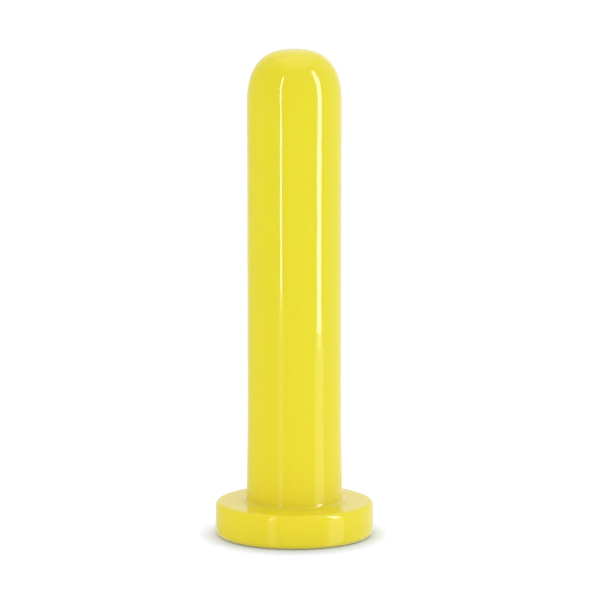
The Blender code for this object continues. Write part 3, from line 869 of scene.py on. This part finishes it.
def makeRopeStud(material):
    # swaged sleeve r = min(R, hexagon) over each crimp, then an M8 thread
    low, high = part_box("rope_stud")
    theta = around(48)
    radius, top = fittings["swageRadius"], fittings["swageTop"]
    h = np.linspace(low.z + 0.6 * mm, top - 0.4 * mm, 90)[:, None]
    along = (h - low.z - fittings["crimpStart"]) / fittings["crimpPitch"]
    share = fittings["crimpWidth"] / fittings["crimpPitch"]
    within = (along > 0) * (along < fittings["crimps"])
    inside = within * np.clip((share / 2 - np.abs(along % 1 - share / 2)) * fittings["crimpSteep"], 0, 1)
    pressed = np.minimum(radius, hexagon(fittings["crimpHalf"], theta))
    sleeve = radius + (pressed - radius) * inside
    major = metricEight["major"] - threadPlay
    z = threadRows(top + 0.3 * mm, high.z, metricEight)
    tip = major - fittings["tipChamfer"] + (high.z - z)
    threaded = np.minimum(major - groove(theta, z, metricEight), tip)
    mouth = low.z + 0.3 * mm
    rows = [(0, mouth), (2.6 * mm, mouth), (2.9 * mm, low.z), (radius - 0.6 * mm, low.z), (sleeve, h),
            (radius - 0.4 * mm, top), (major - metricEight["depth"], top), (threaded, z), (0, high.z)]
    piece = turned("ropeStud", rows, theta, closed=False)
    standIn(piece, material, ["rope_stud"], "post")


def makeFerrule(material):
    # short plated sleeve, pressed to a hexagon on the rope, with the cut rope showing below it
    low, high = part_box("rope_ferrule")
    theta = around(48)
    radius, edge = high.x, 0.5 * mm
    h = np.linspace(low.z + 1.1 * mm, high.z - 1.1 * mm, 6)[:, None]
    pressed = np.minimum(radius, hexagon(radius * fittings["ferruleFlats"], theta))
    wires = 0.12 * mm * np.abs(np.cos(3 * theta))
    rows = [(0, low.z + 0.35 * mm), (1.2 * mm, low.z + 0.2 * mm), (2.35 * mm - wires, low.z + 0.35 * mm),
            (2.6 * mm, low.z + 0.1 * mm), (2.8 * mm, low.z), (radius - edge, low.z), (radius, low.z + edge),
            (pressed, h), (radius, high.z - edge), (radius - edge, high.z), (0, high.z)]
    piece = turned("ropeFerrule", rows, theta, closed=False)
    standIn(piece, material, ["rope_ferrule"], "base")


def makeWasherAndNut(material):
    # washer: round-edged ring turned about Z; nut: r = min(hexagon, cones), with an M8 thread in its bore
    low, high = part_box("stud_washer")
    hole = metricEight["major"] + 0.3 * mm
    corners = [(hole, low.z, 0.2 * mm), (high.x, low.z, 0.15 * mm), (high.x, high.z, 0.5 * mm),
               (hole, high.z, 0.3 * mm)]
    washer = turned("studWasher", [column(roundedOutline(corners))], around(64))
    standIn(washer, material, ["stud_washer"], "post")

    low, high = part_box("stud_nut")
    theta = around(72)
    bore = metricEight["major"] + threadPlay
    half = (high.y - low.y) / 2
    r, h = hexagonBlock(half, low.z, high.z, theta, fittings["nutChamfer"])
    mouth = 0.5 * mm
    thread = threadRows(low.z + mouth, high.z - mouth, metricEight)[::-1]
    rows = [(bore + mouth, low.z), (r, h), (bore + mouth, high.z),
            (bore - groove(theta, thread, metricEight), thread)]
    nut = turned("studNut", rows, theta)
    standIn(nut, material, ["stud_nut"], "post")


plug = {
    "boreRadius": 20 * mm,
    "boreTop": 384 * mm,
    "ribs": 8,  # stiffening ribs inside, crush ribs outside
    "ribHeight": 3 * mm,
    "ribWidth": 2.4 * mm,
    "crushHeight": 0.25 * mm,
    # injection-moulded polypropylene with a spark-eroded finish: mid grey, satin, finely pitted
    "look": {"patchMm": 25, "tones": ("#55585B", "#616467"), "glossMm": 6, "roughness": (0.4, 0.52),
             "toothMm": (0.8, 0.03)},
}


def makeNosePlug():
    # bore radius less a rib: height * clip(1.5 - 2 * arc from the rib's middle / width, 0, 1)
    low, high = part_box("nose_plug")
    theta = around(240)
    shoulder, spigot = tubeHigh.z + gap, tubeHigh.x - tube["wall"] - gap
    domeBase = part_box("post_skin")[1].z - skin["domeHeight"]
    share = turn / plug["ribs"]
    arc = np.abs((theta + share / 2) % share - share / 2) * plug["boreRadius"]
    rib = np.clip(1.5 - 2 * arc / plug["ribWidth"], 0, 1)
    h = np.linspace(plug["boreTop"] - 1.5 * mm, low.z + 0.5 * mm, 12)[:, None]
    inner = plug["boreRadius"] - plug["ribHeight"] * rib * np.clip((h - low.z - mm) / (2 * mm), 0, 1)
    crush = spigot - plug["crushHeight"] * (1 - np.clip(1.5 - arc / plug["ribWidth"], 0, 1))
    bevel, bore, boreTop = 0.8 * mm, plug["boreRadius"], plug["boreTop"]
    dome = domeOutline(high.x, high.z - domeBase, domeBase, 24)[::-1]
    rows = [(0, boreTop), (bore - plug["ribHeight"] - mm, boreTop), (inner, h), (bore + 0.4 * mm, low.z),
            (spigot - bevel, low.z), (crush, low.z + bevel), (crush, shoulder - 0.4 * mm),
            (spigot + 0.4 * mm, shoulder), (high.x - 0.5 * mm, shoulder), (high.x, shoulder + 0.5 * mm),
            column(dome)]
    piece = turned("nosePlug", rows, theta, closed=False)
    material = patchy("mouldedPolypropylene", plug["look"], {"IOR": 1.49})[0]
    standIn(piece, material, ["nose_plug"], "post")


studio = {
    "elevation": 10.0,  # degrees, camera above the horizontal
    "distance": 5.0,
    "viewWidth": 0.509,  # metres across the picture at the post
    "aim": (0.0047, 0.0, 0.2028),
    "roomSoft": (0.71, 0.79),  # brightness of the room for soft light, from the left to the right
    "roomGloss": (0.55, 1.0),  # brightness that gloss reflects, rising towards glossSide
    "glossSide": (0.75, 0.66, 0.6),
    "glossSpan": (-0.2, 0.9),  # along glossSide
    "backdrop": 1.1,
    "floorGlow": (0.02, 0.39),  # in the shadow at the foot's edge, and outside it
    "shadowReach": (0.066, 0.104),  # from the axis, where the glow starts to rise and where it is full
    "shadowShape": (1.12, 1.0, 1.0),  # the shadow is narrower to the sides, where the strips stand
    # azimuth in degrees to the right of the camera; gloss and glow as radiance; mirror is how many times
    # wider and how bright its reflection in the floor is
    "key": {"azimuth": 62.0, "distance": 1.02, "size": (0.19, 1.5), "gloss": 11.0, "glow": 1.6,
            "tint": "#E9FFDC", "mirror": (2.4, 1.3)},
    "fill": {"azimuth": -32.5, "distance": 1.25, "size": (0.08, 1.3), "gloss": 11.5, "glow": 2.0,
             "tint": "#FFF1DC", "mirror": (3.2, 0.9)},
    "stripLean": 3.0,  # degrees, both strips lean away from the camera
    "topHeight": 1.6,
    "topSize": (1.2, 1.2),
    "topRadiance": 0.6,
    "floorHalf": 30.0,
}


def addCamera():
    camera = bpy.data.cameras.new("camera")
    camera.sensor_width = 36
    camera.lens = camera.sensor_width * studio["distance"] / studio["viewWidth"]
    holder = newObject("camera", camera)
    up = math.radians(studio["elevation"])
    x, y, z = studio["aim"]
    holder.location = (x, y - studio["distance"] * math.cos(up), z + studio["distance"] * math.sin(up))
    holder.rotation_euler = (math.pi / 2 - up, 0, 0)
    bpy.context.scene.camera = holder


def addAreaLight(name, centre, away, upright, size, radiance, colour="#FFFFFF", reach="both"):
    # a rectangle that faces against away, with its height along upright; reach is both, gloss or diffuse
    light = bpy.data.lights.new(name, "AREA")
    light.shape = "RECTANGLE"
    light.size, light.size_y = size
    light.energy = radiance * 4 * size[0] * size[1]
    light.color = toLinear(colour)[:3]
    tall = Vector(upright).normalized()
    across = tall.cross(Vector(away)).normalized()
    holder = newObject(name, light)
    axes = Matrix((across, tall, across.cross(tall))).transposed()
    holder.matrix_world = Matrix.Translation(centre) @ axes.to_4x4()
    holder.visible_camera = False
    holder.visible_diffuse = reach != "gloss"
    holder.visible_glossy = reach != "diffuse"


def addStrip(name, strip):
    # an upright strip that stands on the floor, faces the post and leans towards +Y; its gloss is mirrored
    # below the floor, dimmer and wider, as a satin floor would show it
    a, lean = math.radians(strip["azimuth"]), math.radians(studio["stripLean"])
    away = Vector((math.sin(a), -math.cos(a), 0))
    upright = Vector((0, math.sin(lean), math.cos(lean)))
    width, height = strip["size"]
    centre = away * strip["distance"] + upright * height / 2
    addAreaLight(name + "Gloss", centre, away, upright, strip["size"], strip["gloss"], reach="gloss")
    addAreaLight(name + "Glow", centre, away, upright, strip["size"], strip["glow"], strip["tint"],
                 reach="diffuse")
    wider, radiance = strip["mirror"]
    flip = Vector((1, 1, -1))
    addAreaLight(name + "Mirror", centre * flip, away, upright * flip, (width * wider, height), radiance,
                 reach="gloss")


def addStudio():
    for name in ("key", "fill"):
        addStrip(name, studio[name])
    addAreaLight("topBox", (0, 0.2, studio["topHeight"]), (0, 0, 1), (0, 1, 0), studio["topSize"],
                 studio["topRadiance"])
    addRoom()
    addFloor()
    bpy.context.scene.view_settings.view_transform = "Standard"


def addRoom():
    # soft light rises from left to right; gloss sees a room that is brighter towards glossSide; the camera
    # sees an even backdrop
    world = bpy.data.worlds.new("studio")
    world.use_nodes = True
    bpy.context.scene.world = world
    tree = world.node_tree
    way = addNode(tree, "TexCoord").outputs["Generated"]
    side = addNode(tree, "SeparateXYZ", links={0: way}).outputs["X"]
    towards = {"operation": "DOT_PRODUCT", 1: studio["glossSide"]}
    share = addNode(tree, "VectorMath", towards, {0: way}).outputs["Value"]
    left, right = studio["roomSoft"]
    dim, full = studio["roomGloss"]
    dimAt, fullAt = studio["glossSpan"]
    softSpan = {"From Min": -1.0, "To Min": left, "To Max": right}
    glossSpan = {"From Min": dimAt, "From Max": fullAt, "To Min": dim, "To Max": full}
    soft = addNode(tree, "MapRange", softSpan, {"Value": side}).outputs[0]
    gloss = addNode(tree, "MapRange", glossSpan, {"Value": share}).outputs[0]
    ray = addNode(tree, "LightPath").outputs
    lit = addNode(tree, "Mix", links={0: ray["Is Glossy Ray"], 2: soft, 3: gloss}).outputs[0]
    seen = addNode(tree, "Mix", {3: studio["backdrop"]}, {0: ray["Is Camera Ray"], 2: lit})
    room = tree.nodes["Background"]
    room.inputs["Color"].default_value = (1, 1, 1, 1)
    tree.links.new(seen.outputs[0], room.inputs["Strength"])


def addFloor():
    # flat square sheet; its own faint glow fades out near the foot, which deepens the shadow there
    half = studio["floorHalf"]
    corners = [(-half, -half, 0), (half, -half, 0), (half, half, 0), (-half, half, 0)]
    sheet = bpy.data.meshes.new("floor")
    sheet.from_pydata(corners, [], [(0, 1, 2, 3)])
    floor = newObject("floor", sheet)
    floor.visible_glossy = False
    paint = {"Base Color": toLinear("#E8EDFF"), "Roughness": 0.7, "Specular IOR Level": 0.0,
             "Emission Color": (1, 1, 1, 1)}
    material, tree, shader, place = newMaterial("palePaintedFloor", paint)
    shape = {"operation": "MULTIPLY", 1: studio["shadowShape"]}
    oval = addNode(tree, "VectorMath", shape, {0: place}).outputs[0]
    far = addNode(tree, "VectorMath", {"operation": "LENGTH"}, {0: oval}).outputs["Value"]
    near, away = studio["floorGlow"]
    start, end = studio["shadowReach"]
    span = {"interpolation_type": "SMOOTHSTEP", "From Min": start, "From Max": end, "To Min": near,
            "To Max": away}
    glow = addNode(tree, "MapRange", span, {"Value": far}).outputs["Result"]
    tree.links.new(glow, shader.inputs["Emission Strength"])
    sheet.materials.append(material)


addCamera()
addStudio()
print("camera, light and floor set")

makeSkin()
makeReturnSpring()
makeTieRope()
makeGroundPad()
makeBasePlate()
hardware = patchy("zincPlatedSteel", screw["look"], bareMetal)[0]
for node in screwNodes:
    makeScrew(node, hardware)
brass = patchy("knurledBrass", insert["look"], bareMetal)[0]
for node in insertNodes:
    makeInsert(node, brass)
makeAnchorBush(hardware)
seatSteel = turnedSteel()
makeLowerSeat(seatSteel)
makeUpperSeat(seatSteel)
makeCoreTube()
makeRivets(hardware)
makeRopeStud(hardware)
makeFerrule(hardware)
makeWasherAndNut(hardware)
makeNosePlug()
